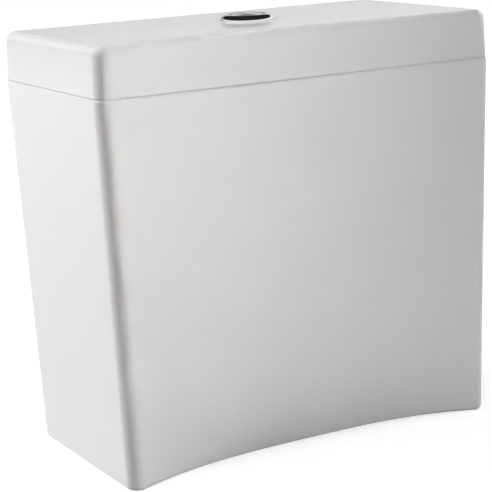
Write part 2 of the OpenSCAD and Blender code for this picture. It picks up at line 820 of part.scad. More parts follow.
// Threaded shank with flange and the riser's socket
module fill_shank() {
    color("whitesmoke") at_fill() rotate_extrude() polygon([
        [water_r, inlet_end], [inlet_r - 1, inlet_end], [inlet_r, inlet_end + 1], [inlet_r, inlet_nut_z - 1],
        [shank_r, inlet_nut_z - 0.5], [shank_r, fill_flange_z], [shank_r + 7, fill_flange_z],
        [shank_r + 7, socket_z], [riser_r + 4, socket_z], [riser_r + 4, socket_z + socket_h],
        [riser_r + fit_gap, socket_z + socket_h], [riser_r + fit_gap, riser_z], [water_r, riser_z]
    ]);
}

// Gasket between the shank's flange and the floor
module shank_gasket() {
    color("dimgray") at_fill() tube(shank_r + fit_gap, shank_r + 6, floor_z, fill_flange_z);
}

// Hexagon nut that holds the shank under the floor
module shank_nut() {
    color("gainsboro") at_fill() difference() {
        union() {
            translate([0, 0, inlet_nut_z]) cylinder(r = shank_r + 6, h = inlet_nut_h - 2, $fn = 6);
            translate([0, 0, skirt_h - 2.5]) cylinder(r = shank_r + 7, h = 2.5);
        }
        translate([0, 0, inlet_nut_z - 1]) cylinder(r = shank_r + thread_gap, h = inlet_nut_h + 2);
    }
}

// Strainer pushed into the inlet end
module inlet_strainer() {
    r = water_r - thread_gap;
    color("khaki") at_fill() difference() {
        translate([0, 0, inlet_end + 1]) cylinder(r = r, h = 18);
        translate([0, 0, inlet_end]) cylinder(r = r - 1, h = 17);
        for (a = [0:60:120]) {
            rotate([0, 0, a]) translate([-r - 1, -0.9, inlet_end + 7]) cube([2 * r + 2, 1.8, 9]);
        }
    }
}

// Riser tube between the shank and the valve head
module riser_tube() {
    color("white") at_fill() tube(riser_r - riser_wall, riser_r, riser_z, riser_top);
}

// Collar that locks the riser in its socket
module lock_collar() {
    color("cornflowerblue") at_fill() difference() {
        union() {
            translate([0, 0, socket_z + socket_h]) cylinder(r = riser_r + lock_h / 2, h = lock_h);
            translate([riser_r, -lock_h / 3, socket_z + socket_h]) cube([lock_h, lock_h * 2 / 3, lock_h]);
        }
        translate([0, 0, socket_z + socket_h - 1]) cylinder(r = riser_r + fit_gap, h = lock_h + 2);
        translate([riser_r - lock_h / 3, -lock_h / 16, socket_z + socket_h - 1])
            cube([2 * lock_h, lock_h / 8, lock_h + 2]);
    }
}

// Valve head on the riser's upper end
module fill_head() {
    z0 = riser_top - head_skirt;
    color("whitesmoke") at_fill() rotate_extrude() polygon([
        [0, riser_top], [riser_r + fit_gap, riser_top], [riser_r + fit_gap, z0], [riser_r + head_wall, z0],
        [riser_r + head_wall, head_neck], [riser_r + 2 * head_wall, head_neck + head_wall],
        [riser_r + 2 * head_wall, cap_z], [0, cap_z]
    ]);
}

// Cap with the arm's cheeks and the pilot nozzle
module head_cap() {
    cheek_gap = arm_w / 2 + slide_gap;
    color("gainsboro") difference() {
        union() {
            at_fill() translate([0, 0, cap_z]) cylinder(r = cap_r, h = cap_h - 2);
            at_fill() translate([0, 0, cap_z + cap_h - 3]) cylinder(r1 = cap_r, r2 = cap_r - 2, h = 3);
            at_fill() translate([-cap_cheek_eye, 0, cap_z + cap_h - 1])
                cylinder(r = nozzle_r, h = nozzle_h + 1);
            for (s = [-1, 1]) {
                translate([arm_x, fill_y + s * (cheek_gap + cap_cheek_t / 2), cap_z + cap_h - 1])
                    cheek(cap_cheek_t, arm_z - cap_z - cap_h + 1, cap_cheek_w, cap_cheek_eye);
            }
            for (a = [0:45:315]) {
                at_fill() rotate([0, 0, a]) translate([cap_r - 1, -2, cap_z + 1]) cube([2.2, 4, cap_h - 5]);
            }
        }
        translate([arm_x, fill_y + 2 * arm_w, arm_z]) rotate([90, 0, 0])
            cylinder(r = arm_pin_r + press_gap, h = 4 * arm_w);
    }
}

// Arm between the float's link and the pilot nozzle, drooping at rest
module float_arm() {
    eye_r = stop_r + 0.8;
    color("lightgreen") translate([arm_x, fill_y, arm_z]) rotate([0, arm_tilt, 0]) difference() {
        union() {
            translate([0, 0, -arm_t / 2]) linear_extrude(height = arm_t) {
                polygon([
                    [-12, 2 - arm_w / 2], [-10, -arm_w / 2], [6, -arm_w / 2], [arm_len, -0.9 * eye_r],
                    [arm_len, 0.9 * eye_r], [6, arm_w / 2], [-10, arm_w / 2], [-12, arm_w / 2 - 2]
                ]);
                translate([arm_len, 0]) circle(r = eye_r);
            }
            translate([0, arm_w / 2, 0]) rotate([90, 0, 0]) cylinder(r = arm_pin_r + 1.8, h = arm_w);
        }
        translate([0, arm_w, 0]) rotate([90, 0, 0]) cylinder(r = arm_pin_r + pin_gap, h = 2 * arm_w);
        translate([arm_len, 0, -arm_t]) cylinder(r = link_r + 1.2, h = 2 * arm_t);
    }
}

// Pin of the float arm
module arm_pin() {
    color("silver") translate([arm_x, fill_y + arm_w / 2 + arm_pin_over, arm_z]) rotate([90, 0, 0])
        cylinder(r = arm_pin_r, h = arm_w + 2 * arm_pin_over);
}

// Float cup round the riser with the link's ear, open below
module float_cup() {
    z = cup_top;
    ear_w = arm_w / 2;
    color("cornflowerblue") difference() {
        union() {
            at_fill() rotate_extrude() polygon([
                [cup_in, z - cup_h], [cup_in + float_wall, z - cup_h], [cup_in + float_wall, z - 2],
                [cup_r - float_wall, z - 2], [cup_r - float_wall, z - cup_h], [cup_r, z - cup_h],
                [cup_r, z - 1], [cup_r - 1, z], [cup_in, z]
            ]);
            translate([fill_x + cup_r - 1, fill_y - ear_w, ear_z])
                cube([link_x - fill_x - cup_r + ear_w + 1, 2 * ear_w, ear_h]);
        }
        translate([link_x, fill_y, ear_z - 1]) cylinder(r = link_r + fit_gap, h = ear_h + 2);
    }
}

// Link rod from the float's ear to the arm, with its stops
module float_link() {
    play = arm_t / 2 + stop_r * tan(arm_tilt) + touch_gap;
    foot_z = ear_z - 3 * stop_t;
    color("silver") translate([link_x, fill_y, 0]) {
        translate([0, 0, foot_z]) cylinder(r = link_r, h = arm_end_z + play + 2 * stop_t - foot_z);
        translate([0, 0, ear_z - stop_t]) cylinder(r = stop_r, h = stop_t);
        translate([0, 0, ear_z + ear_h]) cylinder(r = stop_r, h = stop_t);
        translate([0, 0, arm_end_z - play - stop_t]) cylinder(r = stop_r, h = stop_t);
        translate([0, 0, arm_end_z + play]) cylinder(r = stop_r, h = stop_t);
    }
}

// Coupling bolts, heads inside the tank
module coupling_bolts() {
    color("goldenrod") at_bolts() {
        rotate_extrude() polygon([
            [0, bolt_clear], [bolt_r - 0.8, bolt_clear], [bolt_r, bolt_clear + 0.8], [bolt_r, bolt_nut_z - 0.8],
            [neck_r, bolt_nut_z - 0.4], [neck_r, bolt_top], [bolt_head_r, bolt_top],
            [bolt_head_r, bolt_top + bolt_head_h - 2],
            [bolt_head_r - 3, bolt_top + bolt_head_h], [0, bolt_top + bolt_head_h]
        ]);
    }
}

// Soft washers under the bolt heads
module bolt_seals() {
    color("dimgray") at_bolts() rotate_extrude() polygon([
        [neck_r + fit_gap, floor_z], [bolt_seal_r, floor_z],
        [bolt_seal_r - 1.5, bolt_top], [neck_r + fit_gap, bolt_top]
    ]);
}

// Flat washers under the floor
module bolt_washers() {
    color("silver") at_bolts() tube(neck_r + fit_gap, bolt_washer_r, skirt_h - bolt_washer_t, skirt_h);
}

// Hexagon nuts that fix the bolts to the floor
module bolt_nuts() {
    color("goldenrod") at_bolts() difference() {
        translate([0, 0, bolt_nut_z]) cylinder(r = neck_r + 3.4, h = bolt_nut_h, $fn = 6);
        translate([0, 0, bolt_nut_z - 1]) cylinder(r = neck_r + thread_gap, h = bolt_nut_h + 2);
    }
}

tank_body();
tank_lid();
button_bezel();
button_washer();
button_ring_nut();
full_flush_key();
half_flush_key();
full_key_spring();
half_key_spring();
full_push_rod();
half_push_rod();
valve_base();
base_gasket();
back_nut();
coupling_seal();
valve_tower();
tower_head();
overflow_tube();
valve_seal();
full_flush_float();
lifting_crown();
full_flush_lever();
half_flush_lever();
lever_pin();
half_flush_stem();
half_flush_float();
fill_shank();
shank_gasket();
shank_nut();
inlet_strainer();
riser_tube();
lock_collar();
fill_head();
head_cap();
float_arm();
arm_pin();
float_cup();
float_link();
coupling_bolts();
bolt_seals();
bolt_washers();
bolt_nuts();
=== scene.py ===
"""Toilet cistern: fine ceramic shells, finishes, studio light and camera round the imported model."""
import json
import math

import bmesh
import bpy
from mathutils import Matrix, Vector


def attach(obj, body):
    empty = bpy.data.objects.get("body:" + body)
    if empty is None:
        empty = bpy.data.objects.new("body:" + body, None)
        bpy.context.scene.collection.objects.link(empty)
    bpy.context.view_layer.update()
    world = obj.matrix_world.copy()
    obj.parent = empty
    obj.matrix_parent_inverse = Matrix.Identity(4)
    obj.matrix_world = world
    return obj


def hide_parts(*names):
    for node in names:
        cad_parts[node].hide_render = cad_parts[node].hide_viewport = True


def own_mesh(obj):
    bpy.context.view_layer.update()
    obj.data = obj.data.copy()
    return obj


MM = 0.001

# Ceramic shells, in millimetres, as in the part's source
TANK_W, TANK_D, TANK_H = 390, 199, 331
SIDE_TAPER, FRONT_TAPER, BACK_TAPER = 9.5, 0, 12
WALL, FLOOR_T, SKIRT_H = 10, 10, 38
CORNER_R, INNER_R, FILLET_R = 11.5, 12, 10
FOOT_W, FOOT_R = 13, 4
ARCH_H, ARCH_ZONE = 3, 60
SCOOP_D, SCOOP_H, SCOOP_CURVE, SWEEP_CURVE = 20, 100, 3, 3
LID_H, LID_T, LID_WALL, LID_DRAFT = 42.5, 10, 11, 1.4
LIP_H, LIP_T, LIP_GAP = 6, 6, 1.5
FLOOR_Z = SKIRT_H + FLOOR_T
LID_TOP = TANK_H + LID_H
LID_UNDER = LID_TOP - LID_T
ARCH_SPAN = TANK_W / 2 - SIDE_TAPER - CORNER_R

# Fine edges of the shells, in millimetres, as the photograph shows them
RIM_R, SEAM_R, LID_EDGE_R, LID_SET_BACK = 2.5, 1, 8, 0.35

# Material slots of the shells
GLAZED, INSIDE, BARE = 0, 1, 2

# Push button, in millimetres, as in the part's source
KEY_R, KEY_GAP, KEY_SHOULDER, KEY_T, KEY_DOME = 16.5, 0.4, 1.2, 4, 2
SPLIT_X, SPLIT_GAP = 5.5, 0.6
BEZEL_H, BEZEL_RIM, BEZEL_LIP_RISE, BEZEL_LAND = 5.5, 4, 2, 1
BARREL_WALL, BARREL_LEN, BARREL_FLOOR, BARREL_GAP = 1.9, 31, 3, 1
LEVER_T, LEVER_GAP = 6, 3
ROD_X, ROD_R, SLIDE_GAP = 12.2, 2, 0.3
SPRING_R, WIRE_R, SPRING_TURNS = 2.8, 0.35, 7
ROD_Y = (LEVER_GAP + LEVER_T) / 2
BEZEL_LIP_R = KEY_R + KEY_GAP
SHOULDER_R = KEY_R + KEY_SHOULDER
BORE_R = SHOULDER_R + KEY_GAP
BARREL_R = BORE_R + BARREL_WALL
BEZEL_R = BARREL_R + BEZEL_RIM
BEZEL_LIP_Z = LID_TOP + BEZEL_LIP_RISE
KEY_UNDER = BEZEL_LIP_Z - KEY_T
BARREL_Z = LID_TOP - BARREL_LEN
BARREL_LOW = BARREL_Z - BARREL_FLOOR
LID_HOLE_R = BARREL_R + BARREL_GAP

# Fine edges of the button, in millimetres
BEZEL_SIDE, BEZEL_SOFT, BARREL_SOFT, KEY_SOFT, SPRING_GAP = 0.8, 0.4, 0.6, 0.5, 0.05

# Holes in the tank's floor, coupling bolts and inlet shank, in millimetres, as in the part's source
TAIL_R, TAIL_GAP, HOLE_GAP = 30, 2.5, 1
BOLT_SPAN, BOLT_R, NECK_STEP, BOLT_LOW = 150, 4, 0.4, 4
BOLT_HEAD_R, BOLT_HEAD_H, BOLT_HEAD_SLOPE, BOLT_HEAD_DROP = 9, 6, 3, 2
BOLT_SEAL_T, BOLT_WASHER_T, BOLT_NUT_H = 4, 2, 6.5
INLET_IN, INLET_Y, INLET_R, INLET_LOW, INLET_NUT_H = 70, 8, 10.48, 4, 10
WATER_R, SHANK_STEP, SHANK_FLANGE_W, FLANGE_T, GASKET_T = 6.5, 0.25, 7, 4, 3
RISER_R, FIT_GAP, SOCKET_W, SOCKET_H, SOCKET_FLOOR = 11, 0.15, 4, 20, 3
OUTLET_HOLE_R = TAIL_R + TAIL_GAP
BOLT_X = BOLT_SPAN / 2
NECK_R = BOLT_R + NECK_STEP
BOLT_HOLE_R = NECK_R + HOLE_GAP
BOLT_NUT_Z = SKIRT_H - BOLT_WASHER_T - BOLT_NUT_H
BOLT_TOP = FLOOR_Z + BOLT_SEAL_T
INLET_X = INLET_IN - TANK_W / 2
INLET_NUT_Z = SKIRT_H - INLET_NUT_H
SHANK_R = INLET_R + SHANK_STEP
INLET_HOLE_R = SHANK_R + HOLE_GAP
SHANK_FLANGE_R = SHANK_R + SHANK_FLANGE_W
SHANK_FLANGE_Z = FLOOR_Z + GASKET_T
SOCKET_IN = RISER_R + FIT_GAP
SOCKET_OUT = RISER_R + SOCKET_W
SOCKET_Z = SHANK_FLANGE_Z + FLANGE_T
SOCKET_TOP = SOCKET_Z + SOCKET_H
RISER_Z = SOCKET_Z + SOCKET_FLOOR

# Screw threads, in millimetres: pitch, depth and the stretch without thread at each end
BOLT_THREAD = (1.25, 0.75, 0.8)
INLET_THREAD = (1.814, 1.1, 1)
BARREL_THREAD = (2.5, 0.9, 1)

# Resolution of the fine meshes
CORNER_STEPS, FRONT_STEPS, ROUND_STEPS = 16, 48, 96
SCOOP_STEPS, INNER_STEPS = 14, 12
SMALL_ROUND, FOOT_ROUND, LID_ROUND, BEZEL_ROUND, BOLT_ROUND = 6, 8, 14, 20, 9
PITCH_STEPS, BOLT_STEPS, SHANK_STEPS = 8, 48, 72
KEY_STEPS, KEY_STRIPS, KEY_ROUND, LIP_ROUND = 64, 20, 5, 4
WIRE_SIDES, WIRE_STEPS = 10, 28

# How far a hole's cutter reaches past both faces, in millimetres
CUT_PAST = 5

# Reach in metres within which points are joined
MERGE_REACH, WELD_REACH = 1e-7, 1e-6

# Shading: weight of large faces, and angles in degrees past which an edge stays hard
FACE_WEIGHT, SHARP_SHELL, SHARP_FITTING = 80, 40, 35

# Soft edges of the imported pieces: width in millimetres, angle in degrees
SOFT_WIDTH, SOFT_SEGMENTS, SOFT_ANGLE = 0.35, 2, 40

# Thin triangles on these two would shrink a clamped soft edge to nothing
FULL_EDGES = {"button_ring_nut", "lifting_crown"}

# Sheen of the surfaces
SURFACE_IOR, NOISE_DETAIL, NOISE_ROUGH = 1.5, 4.0, 0.55
MOULD_ROUGH, MOULD_RELIEF = (0.3, 0.42), (0.06, 0.0003)
METAL_ROUGH, METAL_RELIEF = (0.2, 0.34), (0.05, 0.0002)

# Studio: the sky's strength on dull surfaces, and its greys in mirrors by height and by depth
AMBIENT = 0.3
SKY_TOP, SKY_HEIGHTS = 0.02, (0.29, 0.42)
SKY_BEHIND, SKY_DEPTHS = 0.53, (0.6, 0.95)

# Studio floor: half width and height in metres, its greys and glow to the camera, and light thrown back
FLOOR_SIZE, FLOOR_HEIGHT = 6, -0.0003
FLOOR_GREYS, FLOOR_GRAIN, FLOOR_ROUGH = (0.78, 0.8), 3, 0.95
FLOOR_GLOW, FLOOR_BOUNCE = 0.66, 0.08

# Soft boxes: name, place, aim and size in metres, power in watts and beam in degrees
LIGHTS = (
    ("left high soft box", (-2.32, 2.13, 3.54), (-0.19, 0.0, 0.2), (1.6, 1.6), 56.0, 180),
    ("left soft box", (-3.38, 2.24, 2.45), (-0.19, 0.0, 0.2), (1.6, 1.6), 149.0, 180),
    ("right soft box", (1.38, -4.33, 1.85), (0.0, -0.1, 0.2), (1.3, 1.0), 40.0, 180),
    ("right grid box", (3.05, -3.39, 1.36), (-0.29, -0.1, 0.255), (0.3, 0.6), 0.82, 10.6),
    ("right low grid box", (3.6, -3.48, 0.44), (0.22, -0.1, 0.02), (0.2, 0.2), 0.03, 4.5),
)

# Camera fitted to the photograph: place in metres, angles in radians, lens from a focal length in pixels
CAM_PLACE = Vector((-0.74128, -1.28996, 0.5074))
CAM_YAW, CAM_PITCH, CAM_ROLL = 0.51543, 0.22458, -0.04183
FOCAL_PX, IMAGE_PX, SENSOR, CLIP_END = 1665.0, 492, 36.0, 50

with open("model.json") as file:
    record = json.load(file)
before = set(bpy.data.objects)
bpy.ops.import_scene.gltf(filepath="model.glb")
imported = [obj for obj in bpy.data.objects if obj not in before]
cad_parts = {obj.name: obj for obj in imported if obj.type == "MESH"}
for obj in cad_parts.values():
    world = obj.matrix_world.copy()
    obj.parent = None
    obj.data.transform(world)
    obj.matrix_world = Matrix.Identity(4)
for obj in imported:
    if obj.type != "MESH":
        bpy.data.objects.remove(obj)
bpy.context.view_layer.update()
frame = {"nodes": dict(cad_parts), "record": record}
replaced = set()


# Mesh helpers

def new_object(name, mesh):
    """Links a mesh to the scene as a new object."""
    obj = bpy.data.objects.new(name, mesh)
    bpy.context.scene.collection.objects.link(obj)
    return obj


def smooth(mesh):
    """Smooth shading on all faces."""
    for poly in mesh.polygons:
        poly.use_smooth = True


def weighted_normals(obj, sharp_deg):
    """Smooth shading that keeps flat faces flat and hard edges hard."""
    smooth(obj.data)
    obj.data.set_sharp_from_angle(angle=math.radians(sharp_deg))
    mod = obj.modifiers.new("flat faces", "WEIGHTED_NORMAL")
    mod.keep_sharp = True
    mod.weight = FACE_WEIGHT


def in_metres(points):
    return [tuple(c * MM for c in p) for p in points]


def clean(mesh):
    """Merges doubled points and turns all faces outwards."""
    bm = bmesh.new()
    bm.from_mesh(mesh)
    bmesh.ops.remove_doubles(bm, verts=bm.verts, dist=MERGE_REACH)
    bmesh.ops.recalc_face_normals(bm, faces=bm.faces)
    bm.to_mesh(mesh)
    bm.free()


def solid(name, points, faces):
    """New object from points in millimetres and their faces."""
    mesh = bpy.data.meshes.new(name)
    mesh.from_pydata(in_metres(points), [], faces)
    clean(mesh)
    return new_object(name, mesh)


def band(first, second, count):
    """Quads between two rings of points, given by the numbers of their first points."""
    quads = []
    for i in range(count):
        j = (i + 1) % count
        quads.append((first + i, first + j, second + j, second + i))
    return quads


def skin(name, rings, slot_of_band):
    """Closed skin over rings of points in millimetres; slot_of_band gives each band's material index."""
    count = len(rings[0])
    last = len(rings) - 1
    faces, slots = [], []
    for k in range(last):
        faces += band(k * count, (k + 1) * count, count)
        slots += [slot_of_band(k)] * count
    faces.append(tuple(reversed(range(count))))
    slots.append(slot_of_band(-1))
    faces.append(tuple(last * count + i for i in range(count)))
    slots.append(slot_of_band(last))
    mesh = bpy.data.meshes.new(name)
    mesh.from_pydata(in_metres(p for ring_points in rings for p in ring_points), [], faces)
    for poly, slot in zip(mesh.polygons, slots):
        poly.material_index = slot
    mesh.update()
    return new_object(name, mesh)


def lathe(name, profile, centres=((0, 0),), steps=ROUND_STEPS, closed=True, groove=None):
    """Revolves a profile of (radius, height) about upright axes, less the depth of any groove."""
    points, faces = [], []
    n = len(profile)
    spans = n if closed else n - 1
    for cx, cy in centres:
        first = len(points)
        for k in range(steps):
            a = 2 * math.pi * k / steps
            for radius, z in profile:
                r = radius - groove(radius, z, k / steps) if groove else radius
                points.append((cx + r * math.cos(a), cy + r * math.sin(a), z))
        for k in range(steps):
            a, b = first + k * n, first + ((k + 1) % steps) * n
            for i in range(spans):
                j = (i + 1) % n
                faces.append((a + i, b + i, b + j, a + j))
    return solid(name, points, faces)


def screw(radius, low, high, thread):
    """Points up a threaded stretch of a profile, and the function that gives their groove's depth."""
    pitch, depth, plain = thread
    low, high = low + plain, high - plain
    count = round((high - low) / pitch * PITCH_STEPS)
    line = [(radius, low + (high - low) * k / count) for k in range(count + 1)]

    def groove(r, z, turn):
        if r != radius or not low <= z <= high:
            return 0.0
        fade = min(1.0, (z - low) / pitch, (high - z) / pitch)
        return depth * fade * abs(2 * ((z / pitch - turn) % 1.0) - 1)

    return line, groove


def cut_holes(obj, low, high, holes):
    """Cuts upright round holes, each (x, y, radius), from below low to above high, in millimetres."""
    z0, z1 = low - CUT_PAST, high + CUT_PAST
    for x, y, r in holes:
        cutter = lathe("cutter", [(0, z0), (r, z0), (r, z1), (0, z1)], [(x, y)], closed=False)
        mod = obj.modifiers.new("hole", "BOOLEAN")
        mod.operation, mod.solver, mod.object = "DIFFERENCE", "EXACT", cutter
        shape = obj.evaluated_get(bpy.context.evaluated_depsgraph_get())
        mesh = bpy.data.meshes.new_from_object(shape)
        obj.modifiers.clear()
        obj.data = mesh
        bpy.data.objects.remove(cutter)


def stand_for(obj, node, body, slot, *materials):
    """Puts a piece in the place of a CAD node, with its finish."""
    obj.data.materials.clear()
    for mat in materials:
        obj.data.materials.append(mat)
    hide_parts(node)
    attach(obj, body)
    replaced.add(node)


def arc(start, stop, steps):
    """Evenly spaced angles in radians from two limits in degrees."""
    return [math.radians(start + (stop - start) * i / steps) for i in range(steps + 1)]


def rounding(radius, steps, start=0, stop=90):
    """Points of a quarter round as two distances from its tangents, the first from the whole radius to 0."""
    return [(radius * (1 - math.sin(a)), radius * (1 - math.cos(a))) for a in arc(start, stop, steps)]


# Materials

def material(name):
    """New node material and its Principled shader."""
    mat = bpy.data.materials.new(name)
    mat.use_nodes = True
    return mat, mat.node_tree, mat.node_tree.nodes["Principled BSDF"]


def noise(tree, scale, stretch=None):
    """Noise texture in object space."""
    coords = tree.nodes.new("ShaderNodeTexCoord")
    tex = tree.nodes.new("ShaderNodeTexNoise")
    tex.inputs["Scale"].default_value = scale
    tex.inputs["Detail"].default_value = NOISE_DETAIL
    tex.inputs["Roughness"].default_value = NOISE_ROUGH
    source = coords.outputs["Object"]
    if stretch:
        mapping = tree.nodes.new("ShaderNodeMapping")
        mapping.inputs["Scale"].default_value = stretch
        tree.links.new(source, mapping.inputs["Vector"])
        source = mapping.outputs["Vector"]
    tree.links.new(source, tex.inputs["Vector"])
    return tex.outputs["Fac"]


def grey(level):
    return (level, level, level)


def ramp(tree, fac, low, high, start=0.3, stop=0.7):
    """Colour ramp between two colours."""
    node = tree.nodes.new("ShaderNodeValToRGB")
    first, second = node.color_ramp.elements
    first.position, first.color = start, (*low, 1)
    second.position, second.color = stop, (*high, 1)
    tree.links.new(fac, node.inputs["Fac"])
    return node.outputs["Color"]


def spread(tree, fac, low, high):
    """Maps a 0 to 1 value to a range."""
    node = tree.nodes.new("ShaderNodeMapRange")
    node.inputs["To Min"].default_value = low
    node.inputs["To Max"].default_value = high
    tree.links.new(fac, node.inputs["Value"])
    return node.outputs["Result"]


def bump(tree, shader, fac, strength, distance):
    """Bump from a height value."""
    node = tree.nodes.new("ShaderNodeBump")
    node.inputs["Strength"].default_value = strength
    node.inputs["Distance"].default_value = distance
    tree.links.new(fac, node.inputs["Height"])
    tree.links.new(node.outputs["Normal"], shader.inputs["Normal"])


def surface(name, low, high, scale, rough, relief, metallic=0.0, stretch=None):
    """Material whose colour, roughness and relief follow one noise."""
    mat, tree, shader = material(name)
    fac = noise(tree, scale, stretch)
    tree.links.new(ramp(tree, fac, low, high), shader.inputs["Base Color"])
    tree.links.new(spread(tree, fac, *rough), shader.inputs["Roughness"])
    bump(tree, shader, fac, *relief)
    shader.inputs["Metallic"].default_value = metallic
    shader.inputs["IOR"].default_value = SURFACE_IOR
    return mat


def plastic(name, low, high, scale=110, rough=MOULD_ROUGH):
    return surface(name, low, high, scale, rough, MOULD_RELIEF)


def worked_metal(name, low, high, scale, stretch):
    return surface(name, low, high, scale, METAL_ROUGH, METAL_RELIEF, 1.0, stretch)


glaze = surface("white glaze", (0.83, 0.83, 0.825), (0.85, 0.85, 0.845), 9, (0.12, 0.18), (0.004, 0.002))
inner_glaze = surface(
    "thin inner glaze", (0.74, 0.735, 0.71), (0.8, 0.795, 0.775), 26, (0.28, 0.42), (0.05, 0.001))
bisque = surface(
    "bare ceramic foot", (0.66, 0.63, 0.57), (0.76, 0.73, 0.67), 160, (0.75, 0.9), (0.25, 0.0006))
chrome = surface(
    "chrome plating", (0.74, 0.75, 0.76), (0.8, 0.805, 0.81), 40, (0.03, 0.07), (0.01, 0.0003), 1.0)
spring_steel = worked_metal("drawn steel", (0.5, 0.51, 0.53), (0.62, 0.63, 0.64), 300, (1, 1, 0.1))
brass = worked_metal("turned brass", (0.55, 0.38, 0.15), (0.68, 0.49, 0.22), 180, (1, 1, 6))
white_plastic = plastic("white moulded plastic", (0.74, 0.74, 0.72), (0.8, 0.8, 0.785), 120)
FINISHES = {
    "chrome": chrome,
    "spring_steel": spring_steel,
    "brass": brass,
    "white_plastic": white_plastic,
    "grey_plastic": plastic("grey moulded plastic", (0.33, 0.34, 0.36), (0.39, 0.4, 0.42), 120, (0.34, 0.46)),
    "blue_plastic": plastic("blue moulded plastic", (0.06, 0.16, 0.36), (0.08, 0.2, 0.42)),
    "green_plastic": plastic("green moulded plastic", (0.06, 0.25, 0.12), (0.08, 0.3, 0.15)),
    "yellow_plastic": plastic("yellow moulded plastic", (0.62, 0.42, 0.06), (0.7, 0.48, 0.08)),
    "rubber": surface(
        "black rubber", (0.018, 0.018, 0.019), (0.035, 0.035, 0.036), 220, (0.6, 0.8), (0.2, 0.0004)),
    "seal_rubber": surface(
        "red seal rubber", (0.3, 0.03, 0.02), (0.38, 0.05, 0.035), 160, (0.5, 0.65), (0.12, 0.0003)),
}


# Ceramic shells

def half_w(z):
    return TANK_W / 2 - SIDE_TAPER * (1 - z / TANK_H)


def front_y(z):
    return -TANK_D / 2 + FRONT_TAPER * (1 - z / TANK_H)


def back_y(z):
    return TANK_D / 2 - BACK_TAPER * (1 - z / TANK_H)


def scoop_at(z):
    """How far the front foot is swept in at a height."""
    return SCOOP_D * max(0.0, 1 - z / SCOOP_H) ** SCOOP_CURVE


def outline(hw, yf, yb, r):
    """Rounded rectangle, anticlockwise from the right back corner, with extra points along the front."""
    front = [((hw - r) * (2 * k / FRONT_STEPS - 1), yf) for k in range(1, FRONT_STEPS)]
    corners = [(hw - r, yb - r, 0), (r - hw, yb - r, 90), (r - hw, yf + r, 180), (hw - r, yf + r, 270)]
    points = []
    for x, y, turn in corners:
        if turn == 270:
            points += front
        points += [(x + r * math.cos(a), y + r * math.sin(a)) for a in arc(turn, turn + 90, CORNER_STEPS)]
    return points


def ring(hw, yf, yb, r, z, scoop=0.0, arch=0.0):
    """One ring of the skin; scoop moves the front inwards and arch lifts it."""
    points = []
    for x, y in outline(hw, yf, yb, r):
        across = max(0.0, 1 - (abs(x) / ARCH_SPAN) ** SWEEP_CURVE)
        share = across * max(0.0, min(1.0, 1 - (y - yf) / r))
        points.append((x, y + scoop * share, z + arch * share))
    return points


def wall_ring(z, level, inset, r, scoop, arch=0.0):
    """Ring at a height z inside the tank's outer faces as they are at a level."""
    return ring(half_w(level) - inset, front_y(level) + inset, back_y(level) - inset, r, z, scoop, arch)


def outer_ring(z, inset=0):
    arch = ARCH_H * max(0.0, 1 - z / ARCH_ZONE)
    return wall_ring(z, z, inset, CORNER_R - inset, scoop_at(z), arch)


def inner_ring(z, inset=WALL):
    return wall_ring(z, z, inset, INNER_R, scoop_at(z))


def recess_ring(z, arch):
    return wall_ring(z, 0, FOOT_W, INNER_R, SCOOP_D, arch)


def lid_ring(z, inset, r=INNER_R):
    d = LID_DRAFT * (z - TANK_H) / LID_H + inset
    return ring(TANK_W / 2 - d, d - TANK_D / 2, TANK_D / 2 - d, r, z)


def lid_edge(z, inset):
    """Ring of the lid's outer face, whose corners tighten as it draws in."""
    return lid_ring(z, LID_SET_BACK + inset, CORNER_R - inset)


def tank_body():
    """Tank with its foot recess, rounded rim and floor holes."""
    recess = [recess_ring(SKIRT_H, 0), recess_ring(0, ARCH_H)]
    foot = [outer_ring(up, inset) for inset, up in rounding(FOOT_R, FOOT_ROUND)]
    wall = [outer_ring(SCOOP_H * k / SCOOP_STEPS) for k in range(1, SCOOP_STEPS + 1)]
    rim = [outer_ring(TANK_H - drop, inset) for drop, inset in rounding(RIM_R, SMALL_ROUND)]
    inside_rim = [
        inner_ring(TANK_H - drop, WALL - inset) for drop, inset in rounding(RIM_R, SMALL_ROUND, 90, 0)]
    low = FLOOR_Z + FILLET_R
    inner_wall = [inner_ring(SCOOP_H + (low - SCOOP_H) * k / INNER_STEPS) for k in range(INNER_STEPS)]
    fillet = [inner_ring(FLOOR_Z + up, WALL + inset) for up, inset in rounding(FILLET_R, FOOT_ROUND)]
    outside = recess + foot + wall + rim + inside_rim
    first_inner = len(outside) - 1

    def slot_of_band(k):
        if k <= 0 or k >= first_inner:
            return INSIDE
        return BARE if k == 1 else GLAZED

    obj = skin("tank_body_glazed", outside + inner_wall + fillet, slot_of_band)
    cut_holes(obj, SKIRT_H, FLOOR_Z, [
        (0, 0, OUTLET_HOLE_R),
        (-BOLT_X, 0, BOLT_HOLE_R),
        (BOLT_X, 0, BOLT_HOLE_R),
        (INLET_X, INLET_Y, INLET_HOLE_R),
    ])
    weighted_normals(obj, SHARP_SHELL)
    stand_for(obj, "tank_body", "tank", "ceramic", glaze, inner_glaze, bisque)


